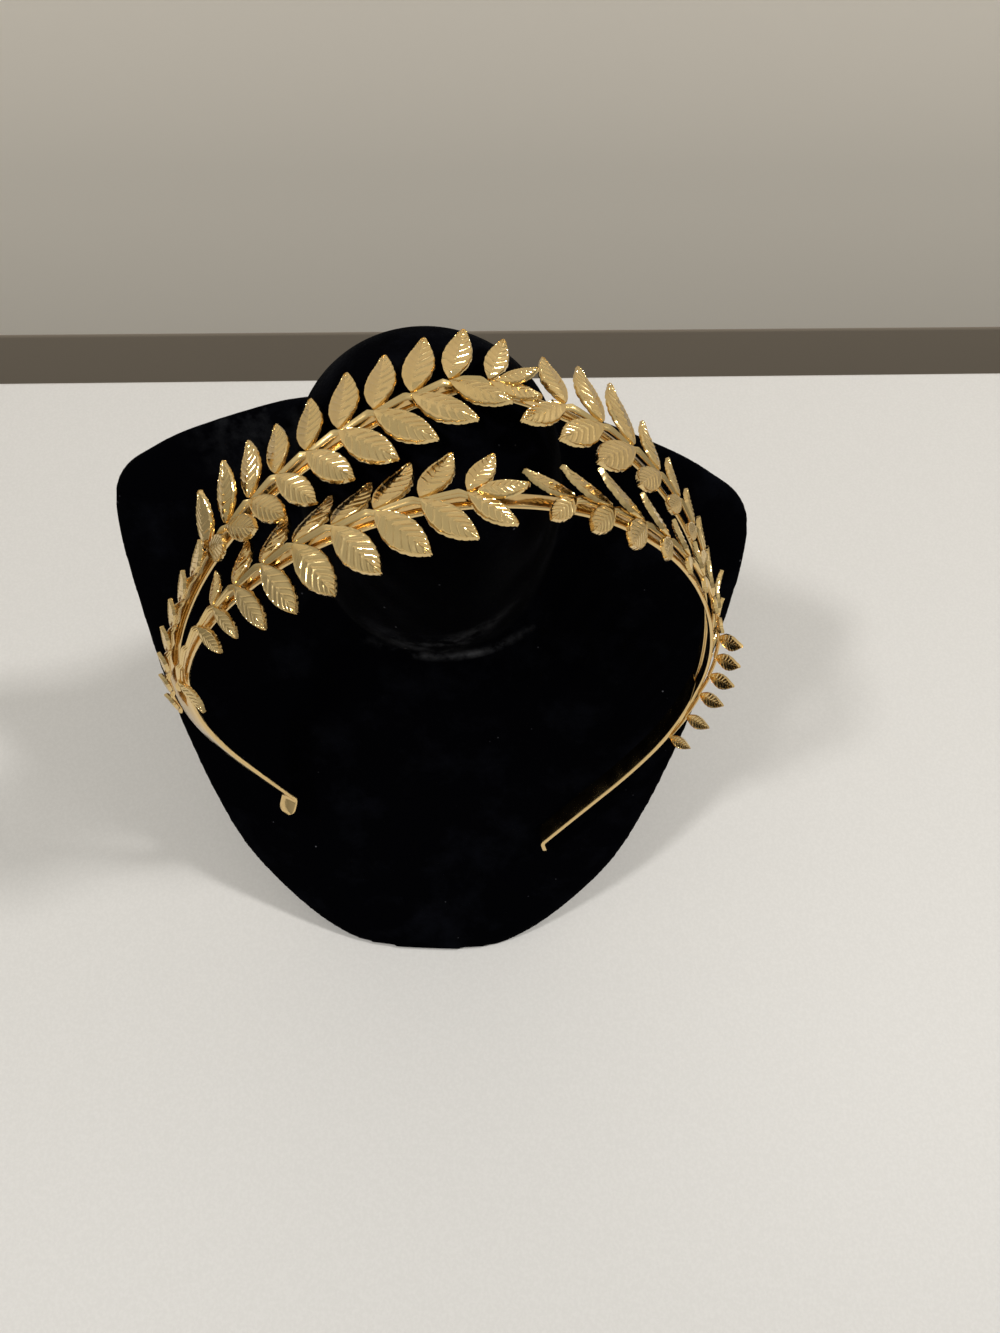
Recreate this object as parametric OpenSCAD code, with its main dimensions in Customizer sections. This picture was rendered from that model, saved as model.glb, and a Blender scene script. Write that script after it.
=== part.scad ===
// A two-row leaf headband standing on a black neck bust.
// All lengths are millimetres. The bust faces -Y, its bottom edge lies on z = 0.

/* [Band] */
// Thickness of the flat metal strips
strip_t = 1.0; // [0.8:0.1:1.4]
// Width of each of the two strips over the crown
row_w = 3.8; // [3:0.1:4.5]
// Width of the one strip of each arm
arm_w = 7; // [6:0.5:8]
// Thickness of each arm
arm_t = 1.4; // [1.2:0.1:1.8]
// Distance along the arch from the crown to where the two strips join
join_s = 119; // [110:1:125]
// How far the front strip stands in front of the arch's middle at the crown
front_gap = 13; // [8:0.5:16]
// How far the back strip stands behind the arch's middle at the crown
back_gap = 17.5; // [12:0.5:18]
// How far the front strip dips towards the head at the crown
front_drop = 3.5; // [0:0.5:5]
// Forward or backward set of the right arm's end
right_set = -8.2; // [-10:0.2:10]
// Forward or backward set of the left arm's end
left_set = 8.4; // [-10:0.2:10]
// Twist of the right arm's strip
right_twist = -8; // [-50:1:10]
// Twist of the left arm's strip
left_twist = -45; // [-50:1:10]
// Length of the folded end of each arm
hook_len = 6; // [4:0.5:8]
// Angle by which each end is folded outwards
hook_angle = 55; // [30:5:90]

/* [Leaves] */
// Radius of the stems
stem_r = 1.0; // [0.8:0.1:1.2]
// Gap between a stem and the strip under it
stem_gap = 0.35; // [0.2:0.05:0.5]
// Thickness of the leaves
leaf_t = 0.8; // [0.6:0.1:1]
// Width of a leaf over its length
leaf_aspect = 0.44; // [0.4:0.02:0.5]

/* [Placing] */
// Place of the crown's middle on the bust
crown_at = [20.4, -0.85, 207.8]; // [-100:0.05:250]
// Lean, roll and yaw of the headband
crown_turn = [-14.2, 11.2, 7.9]; // [-60:0.1:60]

/* [Bust] */
// Slope of the chest from the table
chest_slope = 56; // [50:1:65]
// Height of the neck's top
neck_top = 202.9; // [202.5:0.1:210]
// Width of the strut behind the bust
strut_w = 40; // [20:5:60]

/* [Hidden] */

// Arch of the band from the crown down one side: length, turn in degrees
arch = [
    [30, 30],
    [30, 21],
    [45, 27],
    [45, 34],
    [20, 8],
    [32, 1]
];
arm_end = 202;

// Lengths of the leaves of each pair, from the crown down
front_left_leaves = [12.5, 15.5, 17, 17.2, 17.5, 15.2, 13, 9.4, 10];
back_left_leaves = [12.5, 15.5, 17, 17.2, 17.5, 16, 15, 14.5, 14.5, 14, 12, 11, 10.5, 10, 9, 8.5, 8];
right_leaves = [13.5, 16, 17.6, 14, 11, 10, 10, 9.4, 10, 10, 10, 9.5, 9, 8];
// Beyond this distance a pair has only the leaf that points away from the other row
single_s = 84;

function unit01(v) = min(1, max(0, v));
function side_of(s) = s < 0 ? -1 : 1;

// Place and heading on the arch after a distance s from the crown: x, z, heading
function arch_step(s, i, x, z, a) =
    let (
        last = i == len(arch) - 1,
        run = last ? s : min(s, arch[i][0]),
        b = a + arch[i][1] * run / arch[i][0],
        r = arch[i][0] * 180 / (PI * arch[i][1]),
        nx = x + r * (sin(b) - sin(a)),
        nz = z - r * (cos(a) - cos(b))
    )
    (last || s <= arch[i][0]) ? [nx, nz, b] : arch_step(s - arch[i][0], i + 1, nx, nz, b);
function arch_at(s) = arch_step(abs(s), 0, 0, 0, 0);

// Middle of the arch, its direction towards +X, and its outward normal before twisting
function mid(s) =
    let (p = arch_at(s), w = pow(max(0, abs(s) - 30) / 160, 2))
    [side_of(s) * p[0], (s < 0 ? left_set : right_set) * w, p[1]];
function along(s) = let (a = arch_at(s)[2]) [cos(a), 0, -side_of(s) * sin(a)];
function plain_out(s) = let (a = arch_at(s)[2]) [side_of(s) * sin(a), 0, cos(a)];
function twist(s) = (s < 0 ? left_twist : right_twist) * unit01((abs(s) - 50) / 60);
function out(s) = plain_out(s) * cos(twist(s)) + [0, sin(twist(s)), 0];
function back(s) = [0, cos(twist(s)), 0] - plain_out(s) * sin(twist(s));

// Each strip's middle beyond the other's edge: they lap a little where they join
row_set = row_w / 2 - 0.1;
// How far the front strip stands off the arch: 1 at the crown, 0 where the strips join
function front_spread(s) = max(0, 1 - pow(abs(s) / join_s, 1.7));
// The back strip bends more sharply, over a rounded peak beside the crown
peak_s = -8;
peak_round = 10;
function past_peak(run) = norm([run, peak_round]) - peak_round;
function back_spread(s) =
    1 - pow(min(1, past_peak(s - peak_s) / past_peak(join_s - peak_s * side_of(s - peak_s))), 0.55);
function row_mid(s, row, lift) =
    mid(s) + back(s) * row * row_set
    + [0, row < 0 ? -front_gap * front_spread(s) : back_gap * back_spread(s), 0]
    - plain_out(s) * (row < 0 ? front_drop * front_spread(s) : 0)
    + out(s) * lift;

// A closed skin through rings of points, each ring wound the same way
module skin(rings) {
    n = len(rings[0]);
    m = len(rings);
    polyhedron(
        points = [for (r = rings) for (p = r) p],
        faces = concat(
            [for (i = [0 : m - 2]) for (j = [0 : n - 1]) [i * n + j, (i + 1) * n + j, i * n + (j + 1) % n]],
            [for (i = [0 : m - 2]) for (j = [0 : n - 1])
                [i * n + (j + 1) % n, (i + 1) * n + j, (i + 1) * n + (j + 1) % n]],
            [for (j = [1 : n - 2]) [0, j, j + 1]],
            [for (j = [1 : n - 2]) [(m - 1) * n, (m - 1) * n + j + 1, (m - 1) * n + j]]
        ),
        convexity = 6
    );
}

// The four corners of a flat strip at p, from its width and normal directions
function strip_ring(p, w_dir, n_dir, w, t) = [
    p - w_dir * w / 2 - n_dir * t / 2,
    p + w_dir * w / 2 - n_dir * t / 2,
    p + w_dir * w / 2 + n_dir * t / 2,
    p - w_dir * w / 2 + n_dir * t / 2
];

module crown_strip(row) {
    reach = join_s + 4;
    steps = 38;
    skin([
        for (i = [0 : steps])
            let (s = -reach + 2 * reach * i / steps)
            strip_ring(row_mid(s, row, 0), back(s), out(s), row_w, strip_t)
    ]);
}

module arm(side) {
    first = join_s - 2;
    steps = 18;
    bend = hook_angle / 2;
    end_p = mid(side * arm_end);
    run = along(side * arm_end) * side;
    up = out(side * arm_end);
    hook_dir = run * cos(hook_angle) + up * sin(hook_angle);
    hook_up = up * cos(hook_angle) - run * sin(hook_angle);
    bend_up = up * cos(bend) - run * sin(bend);
    across = back(side * arm_end);
    rings = concat(
        [for (i = [0 : steps])
            let (s = side * (first + (arm_end - 1.5 - first) * i / steps))
            strip_ring(mid(s), back(s), out(s), i == 0 ? row_w : arm_w, arm_t)],
        [strip_ring(end_p, across, bend_up / cos(bend), arm_w, arm_t)],
        [strip_ring(end_p + hook_dir * 1.5, across, hook_up, arm_w, arm_t)],
        [strip_ring(end_p + hook_dir * (hook_len - 2), across, hook_up, arm_w, arm_t)],
        [strip_ring(end_p + hook_dir * hook_len, across, hook_up, arm_w * 0.5, arm_t)]
    );
    if (side > 0)
        skin(rings);
    else
        skin([for (r = rings) [r[1], r[0], r[3], r[2]]]);
}

module headband_place() {
    translate(crown_at) rotate(crown_turn) children();
}

module band() {
    color("#d9bd84") headband_place() union() {
        crown_strip(-1);
        crown_strip(1);
        arm(1);
        arm(-1);
    }
}

// One leaf from its base: direction, outward normal, length
leaf_stations = [
    // place along, half width, lift of the midrib, lift of the rim
    [0, 0.14, 0, 0],
    [0.2, 0.7, 0.025, -0.01],
    [0.48, 1, 0.035, -0.015],
    [0.78, 0.66, 0.04, 0.0],
    [1, 0.08, 0.05, 0.045]
];
module leaf(base, dir, up, length) {
    wide = cross(up, dir);
    half = length * leaf_aspect / 2;
    skin([
        for (k = leaf_stations)
            let (
                c = base + dir * length * k[0],
                rib = c + up * length * k[2],
                left = c + wide * half * k[1] + up * length * k[3],
                right = c - wide * half * k[1] + up * length * k[3]
            )
            [left, rib, right, right - up * leaf_t, rib - up * leaf_t, left - up * leaf_t]
    ]);
}

// Spread and rise of the leaves of pair k, from the row l of a branch's table of leaves
function spread_of(k, l) = l[0] + l[4] * (min(k, 7) - 3.5) + l[6] * max(0, k - 6);
function rise_of(k, l) = l[1] + l[5] * max(0, 1 - k / 3) + l[7] * max(0, k - 6);

// A leaf on one side of a stem, way = 1 for the back: spread, rise and roll in degrees
module side_leaf(b, s, way, spread_a, rise, roll, length) {
    near = -b[0] * along(s);
    flat = near * cos(spread_a) + way * back(s) * sin(spread_a);
    away = -near * sin(spread_a) + way * back(s) * cos(spread_a);
    up = out(s) * cos(rise) - flat * sin(rise);
    leaf(
        row_mid(s, b[1], stem_lift) + (out(s) * leaf_seat + back(s) * way * leaf_side) * stem_radius(b, s),
        flat * cos(rise) + out(s) * sin(rise),
        up * cos(roll) + away * sin(roll),
        length
    );
}

// side, row, first pair's distance from the crown, distance between pairs, pairs,
// distance of the stem's end
front_left = [-1, -1, 11.5, 9.9, 9, 124];
front_right = [1, -1, 12.2, 9.9, 14, 141];
back_left = [-1, 1, 2.6, 8.4, 17, 138];
back_right = [1, 1, 14.4, 9.6, 13, 134];
stem_lift = strip_t / 2 + stem_gap + stem_r;
function stem_start(b) = b[2] - 3;
function stem_radius(b, s) = stem_r * (1 - 0.35 * (abs(s) - stem_start(b)) / (b[5] - stem_start(b)));
// Height of a leaf's base over the stem's middle and its distance to the leaf's own side,
// as shares of the stem's radius there
leaf_seat = 1.04;
leaf_side = 0.3;

// leaves: [spread, rise, roll, size, added spread from pair to pair, added rise of the first
// pair, added spread and rise for each pair beyond the seventh] of the back ones and of the
// front ones, and [spread, rise, roll] of single ones
module branch(b, lengths, leaves) {
    side = b[0];
    steps = 13;
    rings = [
        for (i = [0 : steps])
            let (
                s = side * (stem_start(b) + (b[5] - stem_start(b)) * i / steps),
                c = row_mid(s, b[1], stem_lift),
                r = stem_radius(b, s)
            )
            [for (j = [0 : 5]) c + back(s) * r * cos(60 * j) + out(s) * r * sin(60 * j)]
    ];
    skin(side > 0 ? rings : [for (r = rings) [for (j = [5 : -1 : 0]) r[j]]]);
    for (k = [0 : b[4] - 1]) {
        s = side * (b[2] + b[3] * k);
        if (abs(s) < single_s)
            for (way = [-1, 1]) {
                l = leaves[way > 0 ? 0 : 1];
                side_leaf(b, s, way, spread_of(k, l), rise_of(k, l), l[2], lengths[k] * l[3]);
            }
        else
            side_leaf(b, s, b[1], leaves[2][0], leaves[2][1], leaves[2][2], lengths[k]);
    }
}

module front_left_branch() {
    color("#cfae72") headband_place() union() {
        branch(front_left, front_left_leaves, [
            [65, -24, 0, 1, 2.8, 22, 0, 0],
            [65, -18, 0, 1, 6.6, 4, 0, 0],
            [75, -4, 0]
        ]);
        side_leaf(front_left, -9.5, 1, 0, 0, 0, 11);
        side_leaf(front_left, -120, -1, 110, 0, 0, 10.5);
    }
}

module front_right_branch() {
    color("#cfae72") headband_place() union()
        branch(front_right, right_leaves, [
            [21, 5, 12, 0.95, 3, 0, 0, 0],
            [58, -5, 15, 0.8, 3.2, 0, 0, 0],
            [58, 22, 0]
        ]);
}

module back_left_branch() {
    color("#cfae72") headband_place() union() {
        branch(back_left, back_left_leaves, [
            [76, 0, 0, 1, 2.6, 12, -14, 4],
            [45, -16, 0, 1, 4.5, 17, -10, 10],
            [6, 6, 20]
        ]);
        side_leaf(back_left, -1.3, 1, 0, 20, 0, 10);
    }
}

module back_right_branch() {
    color("#cfae72") headband_place() union()
        branch(back_right, right_leaves, [
            [74, 4, 0, 1.04, 0.8, 0, 0, 0],
            [48, -13, 0, 1.04, 4.6, 0, 0, 0],
            [62, 20, 0]
        ]);
}

// Sections of the chest up its slope: place up the slope, half width, how far the rim
// lies behind the chest's outer plane, depth in front of the rim, depth behind it
chest = [
    [0, 14, 3, 3, 4],
    [3, 28, 5, 5, 7],
    [11, 41, 7, 6.5, 10],
    [25, 54, 8, 6.5, 13],
    [43, 65.5, 8, 6, 15],
    [62, 73, 8, 6, 17],
    [87, 80, 8, 6.5, 18],
    [113, 85.5, 8, 7, 18],
    [142, 89.5, 8, 7.5, 18],
    [162, 91.5, 8, 7.5, 17],
    [177, 90.5, 7, 7, 15],
    [185, 86, 6, 6, 13],
    [190, 79, 5, 5, 10],
    [195, 70.5, 4, 4, 8],
    [199.5, 60, 3, 3, 7],
    [203, 50, 3, 3, 7],
    [206, 40, 3, 3, 7],
    [208, 28, 3, 2, 5]
];
// Sections of the neck: height, how far back its middle lies, radius
neck = [
    [50, 57, 10],
    [60, 74, 24],
    [76, 96, 36],
    [100, 116, 42.5],
    [120, 111.5, 40],
    [140, 107, 37.5],
    [158, 103, 35.5],
    [172, 100, 34],
    [182, 98.5, 32],
    [190, 97.5, 28.5],
    [196, 97, 23.5],
    [200, 96.5, 17],
    [202.3, 96.5, 9],
    [neck_top, 96.5, 2.5]
];
// The middle of the bust's depth, from the chest's lower edge, comes over the origin
depth = max([for (c = neck) c[1] + c[2]]);

module bust_place() {
    translate([0, -depth / 2, 0]) children();
}

module chest_shell() {
    slope_dir = [0, cos(chest_slope), sin(chest_slope)];
    front = [0, -sin(chest_slope), cos(chest_slope)];
    skin([
        for (c = chest)
            [for (j = [0 : 27])
                let (
                    a = -360 * j / 28,
                    x = c[1] * sign(cos(a)) * pow(abs(cos(a)), 0.75),
                    d = (a < -180 ? c[3] : c[4]) * sign(sin(a)) * pow(abs(sin(a)), 0.75)
                )
                slope_dir * c[0] + [x, 0, 0] + front * (d - c[2])]
    ]);
}

module neck_shell() {
    skin([
        for (c = neck)
            [for (j = [0 : 27]) [c[2] * cos(360 * j / 28), c[1] + c[2] * sin(360 * j / 28), c[0]]]
    ]);
}

module bust_body() {
    color("#17181c") bust_place() difference() {
        union() {
            chest_shell();
            neck_shell();
        }
        translate([-100, -50, -50]) cube([200, 150, 50]);
    }
}

// The strut's top follows the neck's underside, a small gap below it
module bust_strut() {
    color("#202126") bust_place() difference() {
        translate([-strut_w / 2, 0, 0]) rotate([90, 0, 90])
            linear_extrude(strut_w) polygon([[134, 0], [142, 0], [128, 96], [120, 96]]);
        translate([0, 0.2, -0.35]) neck_shell();
    }
}

band();
front_left_branch();
front_right_branch();
back_left_branch();
back_right_branch();
bust_body();
bust_strut();
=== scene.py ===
# %% [markdown]
# # A leaf headband on a black velvet bust
# The real object is a pale gold headband of two rows of stamped leaves, standing on a
# display bust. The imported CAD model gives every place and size. Its gold solids could just
# get a better finish, but veins, grooves and rounded edges are far finer than they hold.
# So the gold pieces are built again here with the same formulas, and the bust is built
# again as one soft velvet skin.

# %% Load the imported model
import math
from collections import namedtuple

import bmesh
import bpy
from mathutils import Euler, Matrix, Vector


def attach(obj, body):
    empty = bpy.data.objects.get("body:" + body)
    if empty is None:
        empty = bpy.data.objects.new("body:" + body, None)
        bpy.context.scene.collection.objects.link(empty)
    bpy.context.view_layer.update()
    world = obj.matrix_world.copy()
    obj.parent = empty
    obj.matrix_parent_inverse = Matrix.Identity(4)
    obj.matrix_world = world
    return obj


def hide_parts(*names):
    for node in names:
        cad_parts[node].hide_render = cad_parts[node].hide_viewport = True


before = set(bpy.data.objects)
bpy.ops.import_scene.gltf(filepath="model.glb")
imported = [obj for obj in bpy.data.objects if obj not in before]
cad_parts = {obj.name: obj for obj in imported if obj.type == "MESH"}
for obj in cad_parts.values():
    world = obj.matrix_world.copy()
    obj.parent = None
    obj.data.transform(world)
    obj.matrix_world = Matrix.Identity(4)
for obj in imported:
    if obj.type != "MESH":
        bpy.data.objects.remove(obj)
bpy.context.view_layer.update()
MM = 0.001
print("CAD nodes:", sorted(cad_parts))

# %% [markdown]
# ## The arch of the band
# Seen from the front the band is an arch whose curvature changes slowly from the crown to
# the arms. A curve object bent by hand would look right too, but nothing else could be
# placed along it by rule. So a short table of arcs, each with a length and a turn, says
# what the arch is, and a function finds the place and the heading after any distance from
# the crown. The headband is modelled upright, in millimetres, with its crown at the origin.

# %% Arch of the band
ARCH = (
    # length, turn in degrees
    (30, 30),
    (30, 21),
    (45, 27),
    (45, 34),
    (20, 8),
    (32, 1),
)


def side_of(s):
    """The left side (-1) or the right side (1) of the crown."""
    return -1 if s < 0 else 1


def arch_at(s):
    """Place and heading on the arch at the distance s from the crown: x, z, heading."""
    remaining = abs(s)
    x = z = heading = 0.0
    for i, (length, turn) in enumerate(ARCH):
        run = remaining if i == len(ARCH) - 1 else min(remaining, length)
        radius = length / math.radians(turn)
        after = heading + run / radius
        x += radius * (math.sin(after) - math.sin(heading))
        z -= radius * (math.cos(heading) - math.cos(after))
        heading = after
        if remaining <= length:
            break
        remaining -= length
    return x, z, heading


print("length of the arch's table:", sum(length for length, _ in ARCH), "mm a side")

# %% [markdown]
# ## How the arms lie
# On the way down each arm swings a little to the front or the back, and it twists until it
# lies flat on the chest. A maker bends the real band by hand for this. Here both grow
# smoothly with the distance from the crown, so that no strip kinks. Three directions at
# each distance, along, out and back, carry all that is mounted on the band.

# %% Lie of the arms
ARM_END = 202
ARM_SET = {1: -8.2, -1: 8.4}
SET_FROM = 30
SET_OVER = 160
ARM_TWIST = {1: -8, -1: -45}
TWIST_FROM = 50
TWIST_OVER = 60


def middle(s):
    """Middle of the arch, with the arm's forward or backward set."""
    x, z, _ = arch_at(s)
    grow = (max(0, abs(s) - SET_FROM) / SET_OVER) ** 2
    return Vector((side_of(s) * x, ARM_SET[side_of(s)] * grow, z))


def along(s):
    """Direction of the arch towards +X."""
    heading = arch_at(s)[2]
    return Vector((math.cos(heading), 0, -side_of(s) * math.sin(heading)))


def plain_out(s):
    """Outward normal of the arch before the twist."""
    heading = arch_at(s)[2]
    return Vector((side_of(s) * math.sin(heading), 0, math.cos(heading)))


def twist(s):
    share = min(1, max(0, (abs(s) - TWIST_FROM) / TWIST_OVER))
    return math.radians(ARM_TWIST[side_of(s)]) * share


def out(s):
    return plain_out(s) * math.cos(twist(s)) + Vector((0, math.sin(twist(s)), 0))


def back(s):
    return Vector((0, math.cos(twist(s)), 0)) - plain_out(s) * math.sin(twist(s))


for side in (-1, 1):
    print("arm ends at", tuple(round(v, 1) for v in middle(side * ARM_END)))

# %% [markdown]
# ## The two rows
# Over the crown the band is two strips with an open space between them. The front one bows
# forward and dips towards the head, and the back one bends more sharply, over a rounded
# peak beside the crown. Each could be a curve of its own, but a strip that stands off the
# arch by a share, which falls from 1 to 0 where the two join, always ends on the arm.

# %% Rows of the band
JOIN = 119
ROW_W = 3.8
ROW_LAP = 0.1
ROW_SET = ROW_W / 2 - ROW_LAP
FRONT_GAP = 13
FRONT_DROP = 3.5
FRONT_FALL = 1.7
BACK_GAP = 17.5
BACK_FALL = 0.55
PEAK = -8
PEAK_ROUND = 10


def front_spread(s):
    return max(0, 1 - (abs(s) / JOIN) ** FRONT_FALL)


def past_peak(run):
    return math.hypot(run, PEAK_ROUND) - PEAK_ROUND


def back_spread(s):
    run = s - PEAK
    whole = JOIN - PEAK * side_of(run)
    return 1 - min(1, past_peak(run) / past_peak(whole)) ** BACK_FALL


def row_middle(s, row, lift=0.0):
    """Middle of the front row (-1) or the back row (1), lifted off the strip."""
    place = middle(s) + back(s) * row * ROW_SET + out(s) * lift
    if row > 0:
        return place + Vector((0, BACK_GAP * back_spread(s), 0))
    place -= plain_out(s) * FRONT_DROP * front_spread(s)
    return place - Vector((0, FRONT_GAP * front_spread(s), 0))


open_centre = (row_middle(0, 1) - row_middle(0, -1)).length - ROW_W
print("space between the strips at the crown:", round(open_centre, 1), "mm")

# %% [markdown]
# ## Placing the headband
# The headband sits askew on the bust: it leans, rolls and turns a little. One matrix takes
# the headband's own millimetres to metres in the frame of the CAD model. The finished
# object could be moved there instead, but a place that is in the mesh survives the export.

# %% Place on the bust
CROWN_AT = Vector((20.4, -0.85, 207.8))
CROWN_TURN = (-14.2, 11.2, 7.9)


def turn_of(degrees):
    return Euler([math.radians(a) for a in degrees], "XYZ")


PLACE = Matrix.Scale(MM, 4) @ Matrix.Translation(CROWN_AT) @ turn_of(CROWN_TURN).to_matrix().to_4x4()
print("crown stands at", tuple(round(v, 3) for v in PLACE.translation))

# %% Finish a piece
def finish_piece(bm, name, material, smooth_angle=40, place=PLACE):
    """Puts a bmesh in its place and makes it an object at the origin."""
    bmesh.ops.transform(bm, matrix=place, verts=bm.verts)
    bmesh.ops.recalc_face_normals(bm, faces=bm.faces)
    for face in bm.faces:
        face.smooth = True
    limit = math.radians(smooth_angle)
    for edge in bm.edges:
        if len(edge.link_faces) == 2 and edge.calc_face_angle(0) > limit:
            edge.smooth = False
    mesh = bpy.data.meshes.new(name)
    bm.to_mesh(mesh)
    bm.free()
    piece = bpy.data.objects.new(name, mesh)
    bpy.context.scene.collection.objects.link(piece)
    mesh.materials.append(material)
    print(name, "faces", len(mesh.polygons))
    return piece


# %% [markdown]
# ## Sweeping a section
# Strips, arms and stems are all one section carried along a path. A curve with a bevel
# would do that too, but its twist is hard to hold, and here each step's directions are
# known. So a ring of vertices is extruded again and again, and each new ring is moved to
# its place, as pulling an edge loop along by hand would do. The section is a rounded box,
# so each edge catches a thin light.

# %% Rounded section
EDGE_ROUND = 0.28


def rounded_box(width, height, corner=EDGE_ROUND, steps=3):
    """Points of a rounded box, from its right side on, turning towards the top."""
    points = []
    for quarter in range(4):
        sx = (1, -1, -1, 1)[quarter]
        sz = (1, 1, -1, -1)[quarter]
        for i in range(steps):
            angle = math.pi / 2 * (quarter + i / (steps - 1))
            points.append((
                sx * (width / 2 - corner) + corner * math.cos(angle),
                sz * (height / 2 - corner) + corner * math.sin(angle),
            ))
    return points


print("points of a strip's section:", len(rounded_box(ROW_W, 1)))

# %% Sweep
def lay_ring(ring, place, across, up, section):
    for vert, (a, u) in zip(ring, section):
        vert.co = place + across * a + up * u


def grown_from(vert, new_verts):
    """The vertex that an extrusion made from vert."""
    for edge in vert.link_edges:
        other = edge.other_vert(vert)
        if other in new_verts:
            return other
    raise ValueError("the ring was not extruded")


def sweep(bm, stations):
    """Carries a section along stations of (place, across, up, section points)."""
    section = stations[0][-1]
    ring = bmesh.ops.create_circle(bm, segments=len(section), radius=1)["verts"]
    edges = list(dict.fromkeys(edge for vert in ring for edge in vert.link_edges))
    lay_ring(ring, *stations[0])
    bmesh.ops.contextual_create(bm, geom=edges)
    for station in stations[1:]:
        grown = bmesh.ops.extrude_edge_only(bm, edges=edges)["geom"]
        new_verts = {g for g in grown if isinstance(g, bmesh.types.BMVert)}
        ring = [grown_from(vert, new_verts) for vert in ring]
        edges = [g for g in grown if isinstance(g, bmesh.types.BMEdge)]
        edges = [edge for edge in edges if set(edge.verts) <= new_verts]
        lay_ring(ring, *station)
    bmesh.ops.contextual_create(bm, geom=edges)


# %% [markdown]
# ## Gold
# Plated jewellery has one base colour but several finishes. The stamped leaves are satin:
# bright but a little blurred, with a fine grain in bump. The strips under them are
# polished, and what they mirror is mostly other gold, which is why the gaps look amber in
# real pieces. One gold for all would be simpler, but then strips and leaves would melt
# into one. A little noise in the roughness keeps both from looking like plastic.

# %% Material helpers
def plain_material(name, colour, roughness, metallic=0.0):
    """A Principled material with its constants set on the shader's own sockets."""
    material = bpy.data.materials.new(name)
    material.use_nodes = True
    shader = material.node_tree.nodes["Principled BSDF"]
    shader.inputs["Base Color"].default_value = (*colour, 1)
    shader.inputs["Roughness"].default_value = roughness
    shader.inputs["Metallic"].default_value = metallic
    material.diffuse_color = (*colour, 1)
    return material, shader


def add_node(material, kind):
    return material.node_tree.nodes.new(kind)


def wire(material, source, socket):
    material.node_tree.links.new(source, socket)


def object_place(material):
    """Each point's place in the object's own space, which patterns are fixed to."""
    return add_node(material, "ShaderNodeTexCoord").outputs["Object"]


def noise(material, scale, detail=2.0, roughness=0.5):
    """A noise pattern fixed to the object, with scale in repeats a metre."""
    pattern = add_node(material, "ShaderNodeTexNoise")
    pattern.inputs["Scale"].default_value = scale
    pattern.inputs["Detail"].default_value = detail
    pattern.inputs["Roughness"].default_value = roughness
    wire(material, object_place(material), pattern.inputs["Vector"])
    return pattern.outputs["Fac"]


def to_range(material, source, given, wanted=(0.0, 1.0)):
    """Maps source from the range given to the range wanted, clamped."""
    ranged = add_node(material, "ShaderNodeMapRange")
    ranged.inputs["From Min"].default_value, ranged.inputs["From Max"].default_value = given
    ranged.inputs["To Min"].default_value, ranged.inputs["To Max"].default_value = wanted
    wire(material, source, ranged.inputs["Value"])
    return ranged.outputs["Result"]


def blend_colours(material, factor, first, second):
    """A colour between first and second; either may be a colour or a socket."""
    mix = add_node(material, "ShaderNodeMix")
    mix.data_type = "RGBA"
    wire(material, factor, mix.inputs[0])
    colour_in = [i for i in mix.inputs if i.type == "RGBA"]
    for socket, value in zip(colour_in, (first, second)):
        if isinstance(value, tuple):
            socket.default_value = (*value, 1)
        else:
            wire(material, value, socket)
    return [o for o in mix.outputs if o.type == "RGBA"][0]


def add_bump(material, shader, height, distance, strength=1.0):
    bump = add_node(material, "ShaderNodeBump")
    bump.inputs["Distance"].default_value = distance
    bump.inputs["Strength"].default_value = strength
    wire(material, height, bump.inputs["Height"])
    wire(material, bump.outputs["Normal"], shader.inputs["Normal"])


# %% Gold finishes
SATIN_DEEP = (0.77, 0.565, 0.25)
SATIN_PALE = (0.83, 0.61, 0.29)
SATIN_ROUGHNESS = (0.12, 0.2)
SATIN_GRAIN = 0.000008
POLISHED_ROUGHNESS = (0.1, 0.22)
POLISHED_WAVES = 0.00005


def satin_gold():
    material, shader = plain_material("satin_gold", (0.80, 0.59, 0.27), 0.3, metallic=1.0)
    tone = to_range(material, noise(material, scale=90, detail=3), (0.3, 0.7))
    colour = blend_colours(material, tone, SATIN_DEEP, SATIN_PALE)
    wire(material, colour, shader.inputs["Base Color"])
    blur = noise(material, scale=260, detail=4)
    wire(material, to_range(material, blur, (0.3, 0.7), SATIN_ROUGHNESS), shader.inputs["Roughness"])
    add_bump(material, shader, noise(material, scale=2600), SATIN_GRAIN)
    return material


def polished_gold():
    material, shader = plain_material("polished_gold", (0.83, 0.60, 0.28), 0.14, metallic=1.0)
    blur = noise(material, scale=180, detail=3)
    wire(material, to_range(material, blur, (0.35, 0.7), POLISHED_ROUGHNESS), shader.inputs["Roughness"])
    add_bump(material, shader, noise(material, scale=420), POLISHED_WAVES)
    return material


SATIN = satin_gold()
POLISHED = polished_gold()
print("gold finishes:", SATIN.name, POLISHED.name)

# %% [markdown]
# ## The band
# Two flat strips cross the crown and meet at each side, where a wider strip goes on as an
# arm and ends in a short fold. Real ones are cut from flat wire and soldered. Each strip
# here is a swept rounded box that runs on a little under the next one, finely stepped so
# that its mirror finish shows no facets.

# %% Strips and arms
STRIP_T = 1.0
STRIP_UNDER_ARM = 4
ARM_W = 7
ARM_T = 1.4
ARM_OVER_STRIPS = 2
ARM_WIDENS_IN = 4
HOOK_START = 1.2
HOOK_LENGTH = 6
HOOK_ANGLE = math.radians(55)
BEND_STEP = 0.4
HOOK_TIP = (
    # share of the way to the tip, share of the arm's width
    (0.55, 1),
    (0.75, 0.92),
    (0.9, 0.75),
    (1, 0.5),
)


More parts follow.
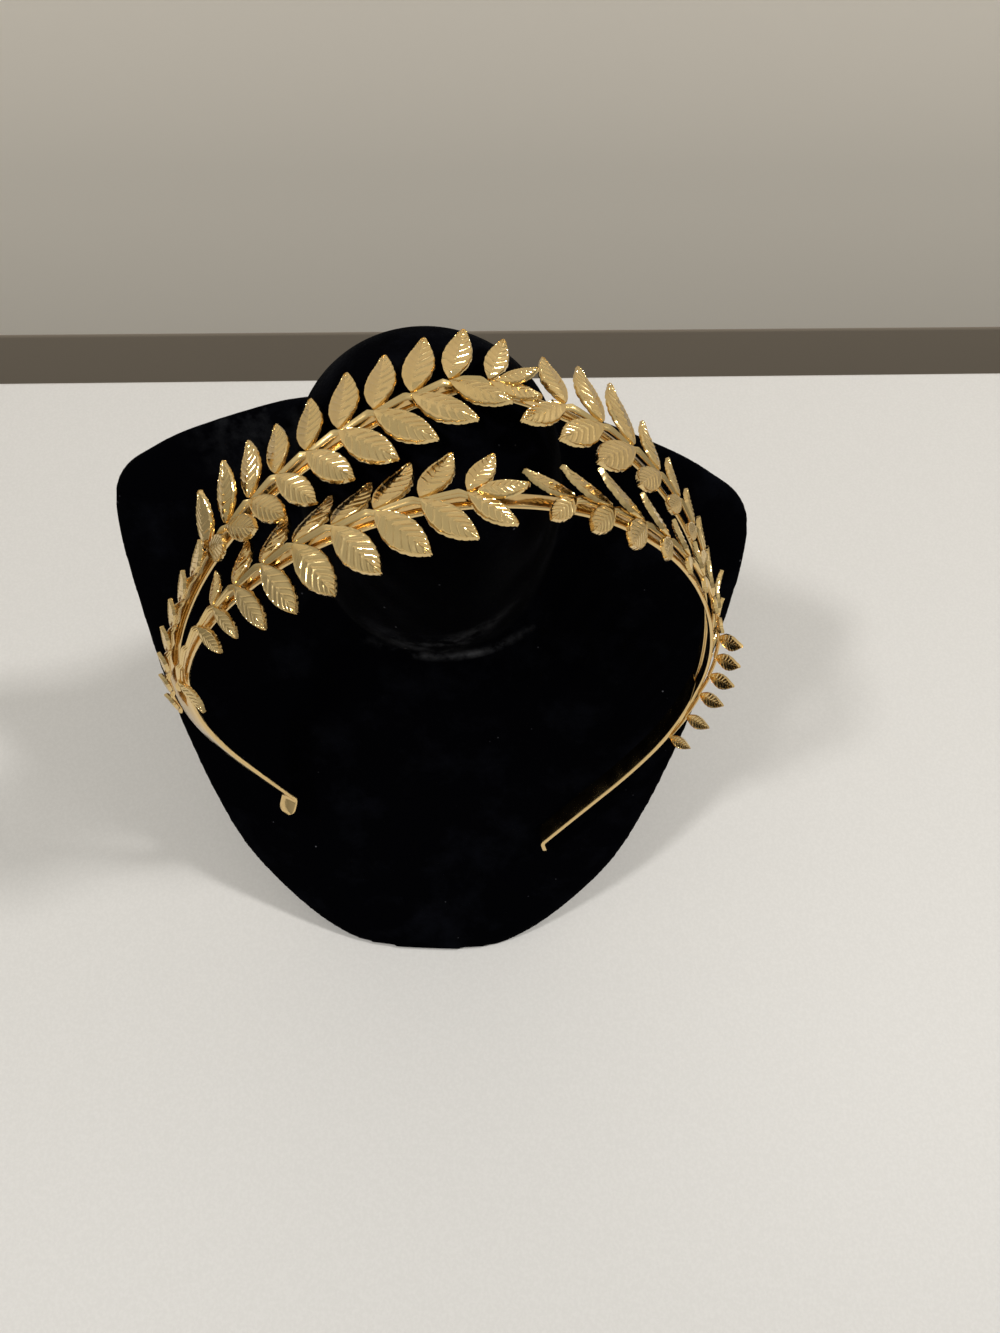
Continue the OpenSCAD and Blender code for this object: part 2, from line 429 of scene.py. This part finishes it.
def crown_stations(row, steps=110):
    reach = JOIN + STRIP_UNDER_ARM
    section = rounded_box(ROW_W, STRIP_T)
    places = [reach * (2 * i / steps - 1) for i in range(steps + 1)]
    return [(row_middle(s, row), back(s), out(s), section) for s in places]


def arm_stations(side, steps=60):
    """The arm from where the strips join to where its end is folded."""
    first = JOIN - ARM_OVER_STRIPS
    last = ARM_END - HOOK_START
    narrow = rounded_box(ROW_W, ARM_T)
    full = rounded_box(ARM_W, ARM_T)
    stations = []
    for i in range(steps + 1):
        s = side * (first + (last - first) * i / steps)
        grow = min(1, i / ARM_WIDENS_IN)
        section = [(a + (b - a) * grow, v) for (a, v), (b, _) in zip(narrow, full)]
        stations.append((middle(s), back(s), out(s), section))
    return stations


def hook_stations(side, place, bends=6):
    """The fold at the end of the arm, from the arm's last place on."""
    end = side * ARM_END
    run, up, across = along(end) * side, out(end), back(end)
    full = rounded_box(ARM_W, ARM_T)
    stations = []
    for i in range(1, bends + 1):
        angle = HOOK_ANGLE * i / bends
        way = run * math.cos(angle) + up * math.sin(angle)
        normal = up * math.cos(angle) - run * math.sin(angle)
        place = place + way * BEND_STEP
        stations.append((place, across, normal, full))
    reach = (middle(end) + way * HOOK_LENGTH - place).length
    for share, width in HOOK_TIP:
        section = rounded_box(ARM_W * width, ARM_T)
        stations.append((place + way * reach * share, across, normal, section))
    return stations


# %% Make the band
def make_band():
    bm = bmesh.new()
    for row in (-1, 1):
        sweep(bm, crown_stations(row))
    for side in (-1, 1):
        arm = arm_stations(side)
        sweep(bm, arm + hook_stations(side, arm[-1][0]))
    piece = finish_piece(bm, "gilt_band", POLISHED, smooth_angle=35)
    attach(piece, "root")
    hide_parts("band")


make_band()

# %% [markdown]
# ## One leaf
# A stamped leaf is a thin sheet pressed over a die: fine raised veins sweep from the midrib
# to the rim, the sheet swells a little between them, and the midrib is a beaded line. A
# displacement on a plain grid would need many more faces to keep that crisp. So the grid's
# rows are bent into the veins' own direction, and each vein has its own rows of faces.
# Extruding the sheet downwards closes it to a leaf of true thickness.

# %% Outline of a leaf
LEAF_WIDTH = 0.44
FOOT_WIDTH = 0.14
FOOT_FALL = 0.08
BELLY_PLACE = 0.95
BELLY_FULLNESS = 0.85
LEAF_LIFTS = (
    # place along, lift of the midrib, lift of the rim, as shares of the length
    (0, 0, 0),
    (0.2, 0.025, -0.01),
    (0.48, 0.035, -0.015),
    (0.78, 0.04, 0.0),
    (1, 0.05, 0.045),
)


def leaf_outline(t):
    """Half width of a leaf, as a share of its widest, at the share t of its length."""
    belly = math.sin(math.pi * t ** BELLY_PLACE) ** BELLY_FULLNESS
    return max(FOOT_WIDTH - FOOT_FALL * t, belly)


def leaf_lift(t, across):
    """Lift of the bent sheet at the shares t of its length and across of its width."""
    for low, high in zip(LEAF_LIFTS, LEAF_LIFTS[1:]):
        if t <= high[0]:
            f = (t - low[0]) / (high[0] - low[0])
            f = f * f * (3 - 2 * f)
            midrib, rim = (a + (b - a) * f for a, b in zip(low[1:], high[1:]))
            return midrib * (1 - across) + rim * across
    return LEAF_LIFTS[-1][1] * (1 - across) + LEAF_LIFTS[-1][2] * across


widest = max(range(101), key=lambda percent: leaf_outline(percent / 100))
print("a leaf is widest at", widest, "% of its length")

# %% Relief of a leaf
VEINS = 8
VEIN_HEIGHT = 0.3
VEIN_SHARPNESS = 4
SWELL = 0.17
MIDRIB_HEIGHT = 0.3
MIDRIB_HALF = 0.1
BEADS_END = 0.72
PLAIN_MIDRIB = 0.8
RIM_FROM = 0.9
RIM_HEIGHT = 0.12
RIM_FALL = -1.5


def leaf_relief(a, across):
    """Height of the stamped relief at the shares a of the length and across of the width."""
    place = a * VEINS
    off = abs(place - round(place))
    vein = VEIN_HEIGHT * max(0, 1 - VEIN_SHARPNESS * off) + SWELL * math.sin(math.pi * off) ** 2
    # Veins and swell fade out at the foot, at the tip and towards the midrib
    height = vein * min(1, 6 * a, 8 * (1 - a)) * min(1, 6 * across)
    if across < MIDRIB_HALF:
        bead = 0.5 + 0.5 * math.cos(2 * math.pi * place) if a < BEADS_END else PLAIN_MIDRIB
        height += MIDRIB_HEIGHT * bead * (1 - across / MIDRIB_HALF) * min(1, 5 * a)
    if across > RIM_FROM:
        height += RIM_HEIGHT * (1 if across < 1 else RIM_FALL)
    return height


print("relief on a vein:", leaf_relief(0.5, 0.5), "mm")

# %% Sheet of a leaf
ROWS_PER_VEIN = 6
COLUMNS = (0, 0.07, 0.16, 0.34, 0.53, 0.72, 0.86, 0.94, 1)
LEAF_MARGIN = 0.015
LEAF_THICK = 0.7
VEIN_SWEEP = 0.21
SCALLOP = 0.02
FULL_RELIEF_LENGTH = 14


def add_leaf(bm, base, direction, up, length):
    rows = VEINS * ROWS_PER_VEIN
    columns = 2 * (len(COLUMNS) - 1)
    sheet = bmesh.ops.create_grid(bm, x_segments=rows, y_segments=columns, size=1)["verts"]
    faces = list(dict.fromkeys(face for vert in sheet for face in vert.link_faces))
    wide = up.cross(direction)
    half = length * LEAF_WIDTH / 2
    relief = min(1, length / FULL_RELIEF_LENGTH)
    for vert in sheet:
        share = (vert.co.x + 1) / 2
        a = LEAF_MARGIN + (1 - 2 * LEAF_MARGIN) * share
        column = round(vert.co.y * columns / 2)
        across = COLUMNS[abs(column)]
        t = a + VEIN_SWEEP * 4 * a * (1 - a) * across
        height = leaf_lift(t, across) * length + leaf_relief(share, across) * relief
        scallop = 1 - SCALLOP * math.cos(2 * math.pi * share * VEINS) * (across > RIM_FROM)
        width = half * leaf_outline(t) * scallop * math.copysign(across, column)
        vert.co = base + direction * length * t + wide * width + up * height
    grown = bmesh.ops.extrude_face_region(bm, geom=faces, use_keep_orig=True)["geom"]
    under = [g for g in grown if isinstance(g, bmesh.types.BMVert)]
    bmesh.ops.translate(bm, vec=-up * LEAF_THICK, verts=under)


print("faces on the top of a leaf:", VEINS * ROWS_PER_VEIN * 2 * (len(COLUMNS) - 1))

# %% [markdown]
# ## The branches
# Each half of each row has a grooved stem with pairs of leaves, and lower down single
# leaves that point away from the other row. An array along a curve would repeat one leaf,
# but on the real one each differs in length and tilt. So a loop places leaf by leaf, and
# the tables hold what differs between the branches.

# %% Tables of the branches
Branch = namedtuple("Branch", "side row first pitch pairs end lengths")
LeafWay = namedtuple("LeafWay", "spread rise roll size fan first_rise late_spread late_rise")
FRONT_LEFT_LEAVES = (12.5, 15.5, 17, 17.2, 17.5, 15.2, 13, 9.4, 10)
BACK_LEFT_LEAVES = (12.5, 15.5, 17, 17.2, 17.5, 16, 15, 14.5, 14.5, 14, 12, 11, 10.5, 10, 9, 8.5, 8)
RIGHT_LEAVES = (13.5, 16, 17.6, 14, 11, 10, 10, 9.4, 10, 10, 10, 9.5, 9, 8)
BRANCHES = {
    # side, row, first pair, distance between pairs, pairs, stem end, lengths of the leaves
    "front_left_branch": Branch(-1, -1, 11.5, 9.9, 9, 124, FRONT_LEFT_LEAVES),
    "front_right_branch": Branch(1, -1, 12.2, 9.9, 14, 141, RIGHT_LEAVES),
    "back_left_branch": Branch(-1, 1, 2.6, 8.4, 17, 138, BACK_LEFT_LEAVES),
    "back_right_branch": Branch(1, 1, 14.4, 9.6, 13, 134, RIGHT_LEAVES),
}
PAIR_WAYS = {
    # the back leaf of each pair, then the front one: spread, rise, roll, size, added spread
    # from pair to pair, added rise of the first pair, added spread and rise for late pairs
    "front_left_branch": (
        LeafWay(65, -24, 0, 1, 2.8, 22, 0, 0),
        LeafWay(65, -18, 0, 1, 6.6, 4, 0, 0),
    ),
    "front_right_branch": (
        LeafWay(21, 5, 12, 0.95, 3, 0, 0, 0),
        LeafWay(58, -5, 15, 0.8, 3.2, 0, 0, 0),
    ),
    "back_left_branch": (
        LeafWay(76, 0, 0, 1, 2.6, 12, -14, 4),
        LeafWay(45, -16, 0, 1, 4.5, 17, -10, 10),
    ),
    "back_right_branch": (
        LeafWay(74, 4, 0, 1.04, 0.8, 0, 0, 0),
        LeafWay(48, -13, 0, 1.04, 4.6, 0, 0, 0),
    ),
}
SINGLE_WAYS = {
    # spread, rise, roll
    "front_left_branch": (75, -4, 0),
    "front_right_branch": (58, 22, 0),
    "back_left_branch": (6, 6, 20),
    "back_right_branch": (62, 20, 0),
}
EXTRA_LEAVES = {
    # place, side of the stem (1 back, -1 front), spread, rise, roll, length
    "front_left_branch": ((-9.5, 1, 0, 0, 0, 11), (-120, -1, 110, 0, 0, 10.5)),
    "back_left_branch": ((-1.3, 1, 0, 20, 0, 10),),
}
print("pairs of leaves:", sum(branch.pairs for branch in BRANCHES.values()))

# %% [markdown]
# ## The stems
# A stem isn't an even rod: at each pair it steps up and slopes away, as the cast links of
# the real one do, and three ridges run along it. Links could be modelled one by one and
# joined, but a section whose size and lift change along the way gives one closed stem.

# %% Stem
STEM_GAP = 0.35
STEM_R = 1.0
STEM_LIFT = STRIP_T / 2 + STEM_GAP + STEM_R
STEM_LEAD = 3
STEM_TAPER = 0.35
STEM_RIDGES = 3
RIDGE_DEPTH = 0.16
RIDGES_FROM = 0.1
STEM_FLATNESS = 0.6
STEM_SLIMNESS = 2.3
STEPS_PER_LINK = 12.5
LINK_STEP_SHARE = 0.16
LINK_WIDER = 0.5
LINK_HIGHER = 0.5
LINK_SWAY = 0.4


def stem_radius(branch, s):
    """Radius of the stem that the leaves are seated on."""
    start = branch.first - STEM_LEAD
    return STEM_R * (1 - STEM_TAPER * (abs(s) - start) / (branch.end - start))


def stem_section(width, points=20):
    """An oval with ridges along its top."""
    section = []
    for i in range(points):
        angle = 2 * math.pi * i / points
        a, u = math.cos(angle), math.sin(angle)
        ridge = RIDGE_DEPTH * math.cos(STEM_RIDGES * math.pi * a) if u > RIDGES_FROM else 0
        section.append((a * width / 2, u * (STEM_FLATNESS + ridge) * width / STEM_SLIMNESS))
    return section


def stem_stations(branch):
    start = branch.first - STEM_LEAD
    steps = round((branch.end - start) / branch.pitch * STEPS_PER_LINK)
    stations = []
    for i in range(steps + 1):
        reach = start + (branch.end - start) * i / steps
        f = ((reach - branch.first) / branch.pitch) % 1 if reach > branch.first else 0
        step_up = f / LINK_STEP_SHARE if f < LINK_STEP_SHARE else (1 - f) / (1 - LINK_STEP_SHARE)
        s = branch.side * reach
        width = (2 * STEM_R + LINK_WIDER * step_up) * (1 - STEM_TAPER * i / steps)
        place = row_middle(s, branch.row, STEM_LIFT + LINK_HIGHER * step_up)
        place += back(s) * LINK_SWAY * (step_up - 0.5)
        stations.append((place, back(s), out(s), stem_section(width)))
    return stations


print("rings of a stem:", {name: len(stem_stations(branch)) for name, branch in BRANCHES.items()})

# %% Leaves on a stem
LEAF_SEAT = 1.04
LEAF_SIDE = 0.3
SINGLE_FROM = 84
FAN_MIDDLE = 3.5
FAN_LAST_PAIR = 7
EARLY_PAIRS = 3
LATE_AFTER_PAIR = 6


def spread_of(k, leaf_way):
    fanned = leaf_way.spread + leaf_way.fan * (min(k, FAN_LAST_PAIR) - FAN_MIDDLE)
    return fanned + leaf_way.late_spread * max(0, k - LATE_AFTER_PAIR)


def rise_of(k, leaf_way):
    early = leaf_way.first_rise * max(0, 1 - k / EARLY_PAIRS)
    return leaf_way.rise + early + leaf_way.late_rise * max(0, k - LATE_AFTER_PAIR)


def add_side_leaf(bm, branch, s, way, spread, rise, roll, length):
    """A leaf on the back side (1) or the front side (-1) of the stem, its angles in degrees."""
    spread, rise, roll = (math.radians(angle) for angle in (spread, rise, roll))
    near = along(s) * -branch.side
    flat = near * math.cos(spread) + back(s) * way * math.sin(spread)
    away = near * -math.sin(spread) + back(s) * way * math.cos(spread)
    up = out(s) * math.cos(rise) - flat * math.sin(rise)
    direction = flat * math.cos(rise) + out(s) * math.sin(rise)
    seat = out(s) * LEAF_SEAT + back(s) * way * LEAF_SIDE
    base = row_middle(s, branch.row, STEM_LIFT) + seat * stem_radius(branch, s)
    add_leaf(bm, base, direction, up * math.cos(roll) + away * math.sin(roll), length)


first_spreads = {name: spread_of(0, ways[0]) for name, ways in PAIR_WAYS.items()}
print("spread of the first back leaves:", first_spreads)

# %% Make the branches
def make_branch(name):
    branch = BRANCHES[name]
    bm = bmesh.new()
    sweep(bm, stem_stations(branch))
    for k in range(branch.pairs):
        reach = branch.first + branch.pitch * k
        s = branch.side * reach
        length = branch.lengths[k]
        if reach >= SINGLE_FROM:
            add_side_leaf(bm, branch, s, branch.row, *SINGLE_WAYS[name], length)
            continue
        for way, leaf_way in zip((1, -1), PAIR_WAYS[name]):
            spread, rise = spread_of(k, leaf_way), rise_of(k, leaf_way)
            add_side_leaf(bm, branch, s, way, spread, rise, leaf_way.roll, length * leaf_way.size)
    for extra in EXTRA_LEAVES.get(name, ()):
        add_side_leaf(bm, branch, *extra)
    piece = finish_piece(bm, "gilt_" + name, SATIN, smooth_angle=50)
    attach(piece, "root")
    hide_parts(name)


for branch_name in BRANCHES:
    make_branch(branch_name)

# %% [markdown]
# ## The bust
# The bust is a padded form under one skin of velvet. A subdivided cage would give the soft
# shape, but it would drift off the CAD solid. So sections up the chest and up the neck, the
# CAD model's own, are filled in with smooth ones and swept. The two forms are then voxel
# remeshed into one skin and smoothed, which rounds the crease between them as stretched
# cloth does.

# %% Sections of the bust
CHEST_SLOPE = math.radians(56)
CHEST_SQUARENESS = 0.75
CHEST = (
    # place up the slope, half width, rim behind the outer plane, depth in front, depth behind
    (0, 14, 3, 3, 4),
    (3, 28, 5, 5, 7),
    (11, 41, 7, 6.5, 10),
    (25, 54, 8, 6.5, 13),
    (43, 65.5, 8, 6, 15),
    (62, 73, 8, 6, 17),
    (87, 80, 8, 6.5, 18),
    (113, 85.5, 8, 7, 18),
    (142, 89.5, 8, 7.5, 18),
    (162, 91.5, 8, 7.5, 17),
    (177, 90.5, 7, 7, 15),
    (185, 86, 6, 6, 13),
    (190, 79, 5, 5, 10),
    (195, 70.5, 4, 4, 8),
    (199.5, 60, 3, 3, 7),
    (203, 50, 3, 3, 7),
    (206, 40, 3, 3, 7),
    (208, 28, 3, 2, 5),
)
NECK = (
    # height, how far back the middle lies, radius
    (50, 57, 10),
    (60, 74, 24),
    (76, 96, 36),
    (100, 116, 42.5),
    (120, 111.5, 40),
    (140, 107, 37.5),
    (158, 103, 35.5),
    (172, 100, 34),
    (182, 98.5, 32),
    (190, 97.5, 28.5),
    (196, 97, 23.5),
    (200, 96.5, 17),
    (202.3, 96.5, 9),
    (202.9, 96.5, 2.5),
)
BUST_DEPTH = max(place + radius for _, place, radius in NECK)
BUST_PLACE = Matrix.Scale(MM, 4) @ Matrix.Translation((0, -BUST_DEPTH / 2, 0))
print("depth of the bust:", BUST_DEPTH, "mm")

# %% Smooth rows between sections
def smooth_between(before, low, high, after, f):
    """A value between low and high on the cubic that also follows its neighbours."""
    bend = 2 * before - 5 * low + 4 * high - after
    swing = 3 * low - before - 3 * high + after
    return (2 * low + (high - before) * f + bend * f * f + swing * f ** 3) / 2


def fill_rows(table, parts=3):
    """Rows of a table with smooth ones between them."""
    rows = []
    for i in range(len(table) - 1):
        around = table[max(i - 1, 0)], table[i], table[i + 1], table[min(i + 2, len(table) - 1)]
        for j in range(parts):
            rows.append([smooth_between(*values, j / parts) for values in zip(*around)])
    rows.append(table[-1])
    return rows


print("sections of the chest and the neck:", len(fill_rows(CHEST)), len(fill_rows(NECK)))

# %% Skin of the bust
SECTION_POINTS = 112
FOOT_CUT = 0.05


def section_angles():
    return [2 * math.pi * j / SECTION_POINTS for j in range(SECTION_POINTS)]


def squared(value):
    """A sine or cosine that stays longer near its ends, for a fuller oval."""
    return math.copysign(abs(value) ** CHEST_SQUARENESS, value)


def chest_stations():
    up_slope = Vector((0, math.cos(CHEST_SLOPE), math.sin(CHEST_SLOPE)))
    front = Vector((0, -math.sin(CHEST_SLOPE), math.cos(CHEST_SLOPE)))
    stations = []
    for reach, half, behind, depth_front, depth_back in fill_rows(CHEST):
        section = []
        for angle in section_angles():
            depth = depth_front if math.sin(angle) > 0 else depth_back
            section.append((half * squared(math.cos(angle)), depth * squared(math.sin(angle)) - behind))
        stations.append((up_slope * reach, Vector((1, 0, 0)), front, section))
    return stations


def neck_stations():
    stations = []
    for height, place, radius in fill_rows(NECK):
        section = [(radius * math.cos(angle), radius * math.sin(angle)) for angle in section_angles()]
        stations.append((Vector((0, place, height)), Vector((1, 0, 0)), Vector((0, 1, 0)), section))
    return stations


def bust_skin():
    """The chest, cut level where it stands, with the neck sunk into it."""
    bm = bmesh.new()
    sweep(bm, chest_stations())
    everything = bm.verts[:] + bm.edges[:] + bm.faces[:]
    cut = bmesh.ops.bisect_plane(
        bm, geom=everything, plane_co=(0, 0, FOOT_CUT), plane_no=(0, 0, -1), clear_outer=True
    )["geom_cut"]
    bmesh.ops.contextual_create(bm, geom=[g for g in cut if isinstance(g, bmesh.types.BMEdge)])
    sweep(bm, neck_stations())
    return bm


# %% [markdown]
# ## Velvet
# Velvet swallows light, so its base is nearly black and its gloss is off, with only a
# trace of sheen. What makes it read as cloth is painted into its colour: patches of
# painted sheen from the lie of the pile, a painted highlight along the crease around
# the neck's foot, a painted highlight on a shoulder, and a few specks of lint. A
# photographed cloth texture would stretch over the form. Noise fixed to the object
# and distances from a few places on it put each mark where the real one has it.

# %% Masks for the velvet
def product(material, first, second):
    both = add_node(material, "ShaderNodeMath")
    both.operation = "MULTIPLY"
    wire(material, first, both.inputs[0])
    wire(material, second, both.inputs[1])
    return both.outputs[0]


def close_to(material, place, full, none):
    """1 up to the distance full from a place, falling to 0 at the distance none."""
    gap = add_node(material, "ShaderNodeVectorMath")
    gap.operation = "DISTANCE"
    gap.inputs[1].default_value = place
    wire(material, object_place(material), gap.inputs[0])
    return to_range(material, gap.outputs["Value"], (full, none), (1.0, 0.0))


# %% Velvet
PILE_DEEP = (0.0009, 0.0009, 0.0014)
# Colour of the painted sheen in patches from the lie of the pile
PILE_SHEEN = (0.0035, 0.0038, 0.0055)
CREASE_CENTRE = (0.001, 0.049, 0.120)
CREASE_RADIUS = 0.0565
CREASE_HALF = 0.0014
CREASE_BRIGHTEST = (0.009, -0.006, 0.110)
# Colour of the painted highlight along the crease around the neck's foot
CREASE_HIGHLIGHT = (0.05, 0.051, 0.056)
# Place and colour of a painted highlight on one shoulder
SHOULDER_HIGHLIGHT_AT = (-0.047, 0.033, 0.165)
SHOULDER_HIGHLIGHT = (0.011, 0.0115, 0.013)
LINT_TONE = (0.09, 0.09, 0.1)
PILE_HEIGHT = 0.0002


def crease_highlight_mask(material):
    """Mask of a painted highlight: a thin ring around the neck's foot, brightest at one place."""
    outer = close_to(material, CREASE_CENTRE, CREASE_RADIUS, CREASE_RADIUS + CREASE_HALF)
    inner = close_to(material, CREASE_CENTRE, CREASE_RADIUS, CREASE_RADIUS - CREASE_HALF)
    ring = product(material, outer, inner)
    return product(material, ring, close_to(material, CREASE_BRIGHTEST, 0.004, 0.034))


def lint_mask(material):
    """Specks in the cells of a Voronoi pattern, kept only in a few patches."""
    cells = add_node(material, "ShaderNodeTexVoronoi")
    cells.inputs["Scale"].default_value = 260
    wire(material, object_place(material), cells.inputs["Vector"])
    speck = to_range(material, cells.outputs["Distance"], (0.04, 0.1), (1.0, 0.0))
    patch = to_range(material, noise(material, scale=150), (0.62, 0.68))
    return product(material, speck, patch)


def black_velvet():
    material, shader = plain_material("black_velvet", (0.002, 0.002, 0.003), 0.9)
    shader.inputs["Sheen Weight"].default_value = 0.015
    shader.inputs["Sheen Roughness"].default_value = 0.3
    shader.inputs["Specular IOR Level"].default_value = 0.0
    # Painted sheen: random patches of the pile are lightened in the base colour
    sheen_patches = to_range(material, noise(material, scale=48, detail=5, roughness=0.65), (0.5, 0.8))
    pile = blend_colours(material, sheen_patches, PILE_DEEP, PILE_SHEEN)
    # Painted highlight along the crease around the neck's foot, broken into patches by noise
    highlight_patches = to_range(material, noise(material, scale=170, detail=4, roughness=0.6), (0.42, 0.72))
    crease_highlight = product(material, crease_highlight_mask(material), highlight_patches)
    pile = blend_colours(material, crease_highlight, pile, CREASE_HIGHLIGHT)
    # Painted highlight on one shoulder, broken into the same patches
    shoulder_highlight = product(material, close_to(material, SHOULDER_HIGHLIGHT_AT, 0.004, 0.024), highlight_patches)
    pile = blend_colours(material, shoulder_highlight, pile, SHOULDER_HIGHLIGHT)
    colour = blend_colours(material, lint_mask(material), pile, LINT_TONE)
    wire(material, colour, shader.inputs["Base Color"])
    add_bump(material, shader, noise(material, scale=1400, detail=3), PILE_HEIGHT)
    return material


VELVET = black_velvet()
print("nodes in the velvet:", len(VELVET.node_tree.nodes))

# %% Make the bust
SKIN_VOXEL = 0.0013
SKIN_SMOOTHING = 4


def remesh(piece):
    """Replaces the piece's mesh by one closed skin around it, smoothed."""
    skin = piece.modifiers.new("one skin", "REMESH")
    skin.mode = "VOXEL"
    skin.voxel_size = SKIN_VOXEL
    soft = piece.modifiers.new("softer", "SMOOTH")
    soft.factor = 0.5
    soft.iterations = SKIN_SMOOTHING
    depsgraph = bpy.context.evaluated_depsgraph_get()
    mesh = bpy.data.meshes.new_from_object(piece.evaluated_get(depsgraph))
    piece.modifiers.clear()
    piece.data = mesh
    for polygon in mesh.polygons:
        polygon.use_smooth = True
    print(piece.name, "remeshed to", len(mesh.polygons))


def make_bust():
    piece = finish_piece(bust_skin(), "velvet_bust", VELVET, smooth_angle=180, place=BUST_PLACE)
    remesh(piece)
    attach(piece, "root")
    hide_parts("bust_body")


make_bust()

# %% [markdown]
# ## The strut
# The flat strut behind the bust keeps it upright. Its CAD shape is right as it is, so it
# isn't built again and only gets its cloth cover, a dark weave with fine threads in bump.

# %% Strut
THREADS = 420
THREAD_HEIGHT = 0.0002


def black_cloth():
    material, shader = plain_material("black_cloth", (0.012, 0.012, 0.014), 0.85)
    thread = add_node(material, "ShaderNodeTexWave")
    thread.inputs["Scale"].default_value = THREADS
    wire(material, object_place(material), thread.inputs["Vector"])
    add_bump(material, shader, thread.outputs["Fac"], THREAD_HEIGHT, strength=0.6)
    return material


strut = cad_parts["bust_strut"]
strut.data.materials.clear()
strut.data.materials.append(black_cloth())
print("strut covered with", strut.data.materials[0].name)

# %% [markdown]
# ## Stage, camera and light
# The object stands on a pale speckled table top, with a plain wall behind it and a dark
# strip of painted shade in front of the wall below the table's level, where the gap behind
# the table lies in shadow. The camera looks down from a little in front of the bust. A
# studio's big soft boxes would wash out the stamped veins. The even light of the room gives
# the gold its satin tone instead, and it dims towards the horizon as under a pale ceiling,
# so that leaves which face sideways come out darker. Two small ceiling lamps put the sparks
# on veins and rims and cast the bust's two shadows.

# %% Slab helper
def add_slab(name, size, place, turn, material):
    """A bevelled slab that is stage only."""
    bm = bmesh.new()
    bmesh.ops.create_cube(bm, size=1)
    bmesh.ops.scale(bm, vec=size, verts=bm.verts)
    bmesh.ops.bevel(
        bm, geom=bm.edges[:], offset=0.003, segments=3, affect="EDGES", profile=0.5, material=-1
    )
    turned = Matrix.Translation(place) @ Matrix.Rotation(turn, 4, "Z")
    slab = finish_piece(bm, name, material, place=turned)


# %% Table and wall
STAGE_TURN = math.radians(4.3)
WAY_BACK = Vector((-math.sin(STAGE_TURN), math.cos(STAGE_TURN), 0))
TABLE_EDGE = Vector((0.017, 0.198, 0))
TABLE = (1.2, 1.6, 0.03)
TABLE_GAP = 0.0003
TOP_SPECK = (0.585, 0.57, 0.55)
TOP_GROUND = (0.615, 0.6, 0.58)
BEHIND_TABLE = {
    # size, distance behind the table's edge, height of its middle, colour
    "wall": ((3.0, 0.03, 2.0), 0.16, -0.4, (0.76, 0.705, 0.625)),
    # a dark strip of painted shade, for the shadowed gap behind the table's edge
    "shade_strip": ((3.0, 0.03, 0.5), 0.159, -0.372, (0.215, 0.178, 0.135)),
}


def speckled_top():
    material, shader = plain_material("table_top", (0.60, 0.585, 0.565), 0.55)
    speck = to_range(material, noise(material, scale=900, detail=4, roughness=0.7), (0.42, 0.62))
    wire(material, blend_colours(material, speck, TOP_SPECK, TOP_GROUND), shader.inputs["Base Color"])
    return material


table_at = TABLE_EDGE - WAY_BACK * TABLE[1] / 2 + Vector((0, 0, -TABLE[2] / 2 - TABLE_GAP))
add_slab("table", TABLE, table_at, STAGE_TURN, speckled_top())
for slab_name, (size, away, height, colour) in BEHIND_TABLE.items():
    paint, _ = plain_material(slab_name + "_paint", colour, 0.6)
    slab_at = TABLE_EDGE + WAY_BACK * away + Vector((0, 0, height))
    add_slab(slab_name, size, slab_at, STAGE_TURN, paint)

# %% Camera
CAMERA_AT = (0.01696, -0.12855, 0.37481)
CAMERA_TURN = (24.156, -1.829, 1.956)
FOCAL_PX = 958.8
IMAGE_HIGH = 1333
camera_data = bpy.data.cameras.new("camera")
camera = bpy.data.objects.new("camera", camera_data)
bpy.context.scene.collection.objects.link(camera)
camera_data.sensor_width = 36
camera_data.lens = FOCAL_PX / IMAGE_HIGH * camera_data.sensor_width
camera_data.clip_start = 0.01
camera.location = CAMERA_AT
camera.rotation_euler = turn_of(CAMERA_TURN)
bpy.context.scene.camera = camera
print("lens:", round(camera_data.lens, 1), "mm")

# %% Ceiling lamps
LAMP_SIZE = 0.16
LAMP_COLOUR = (1.0, 0.99, 0.97)
LAMP_TARGET = Vector((0, 0, 0.1))
LAMPS = {
    # place, power in watts
    "lamp_left": ((-0.75, -0.35, 1.5), 10.5),
    "lamp_right": ((0.9, 0.15, 1.45), 13.5),
}
for lamp_name, (lamp_at, power) in LAMPS.items():
    lamp = bpy.data.lights.new(lamp_name, "AREA")
    lamp.shape = "SQUARE"
    lamp.size = LAMP_SIZE
    lamp.energy = power
    lamp.color = LAMP_COLOUR
    light = bpy.data.objects.new(lamp_name, lamp)
    light.location = lamp_at
    light.rotation_euler = (LAMP_TARGET - Vector(lamp_at)).to_track_quat("-Z", "Y").to_euler()
    bpy.context.scene.collection.objects.link(light)
    print(lamp_name, "gives", power, "W")

# %% Light of the room
ROOM_COLOUR = (0.49, 0.484, 0.45)
ROOM_STRENGTH = (0.5, 0.98)
CEILING_FROM = 0.75
world = bpy.data.worlds.new("room")
world.use_nodes = True
room_light = world.node_tree.nodes["Background"]
room_light.inputs["Color"].default_value = (*ROOM_COLOUR, 1)
sky_way = add_node(world, "ShaderNodeTexCoord").outputs["Generated"]
axes = add_node(world, "ShaderNodeSeparateXYZ")
wire(world, sky_way, axes.inputs[0])
strength = to_range(world, axes.outputs["Z"], (0.0, CEILING_FROM), ROOM_STRENGTH)
wire(world, strength, room_light.inputs["Strength"])
bpy.context.scene.world = world
bpy.context.scene.view_settings.view_transform = "Standard"
print("room light from", ROOM_STRENGTH[0], "at the horizon to", ROOM_STRENGTH[1], "overhead")
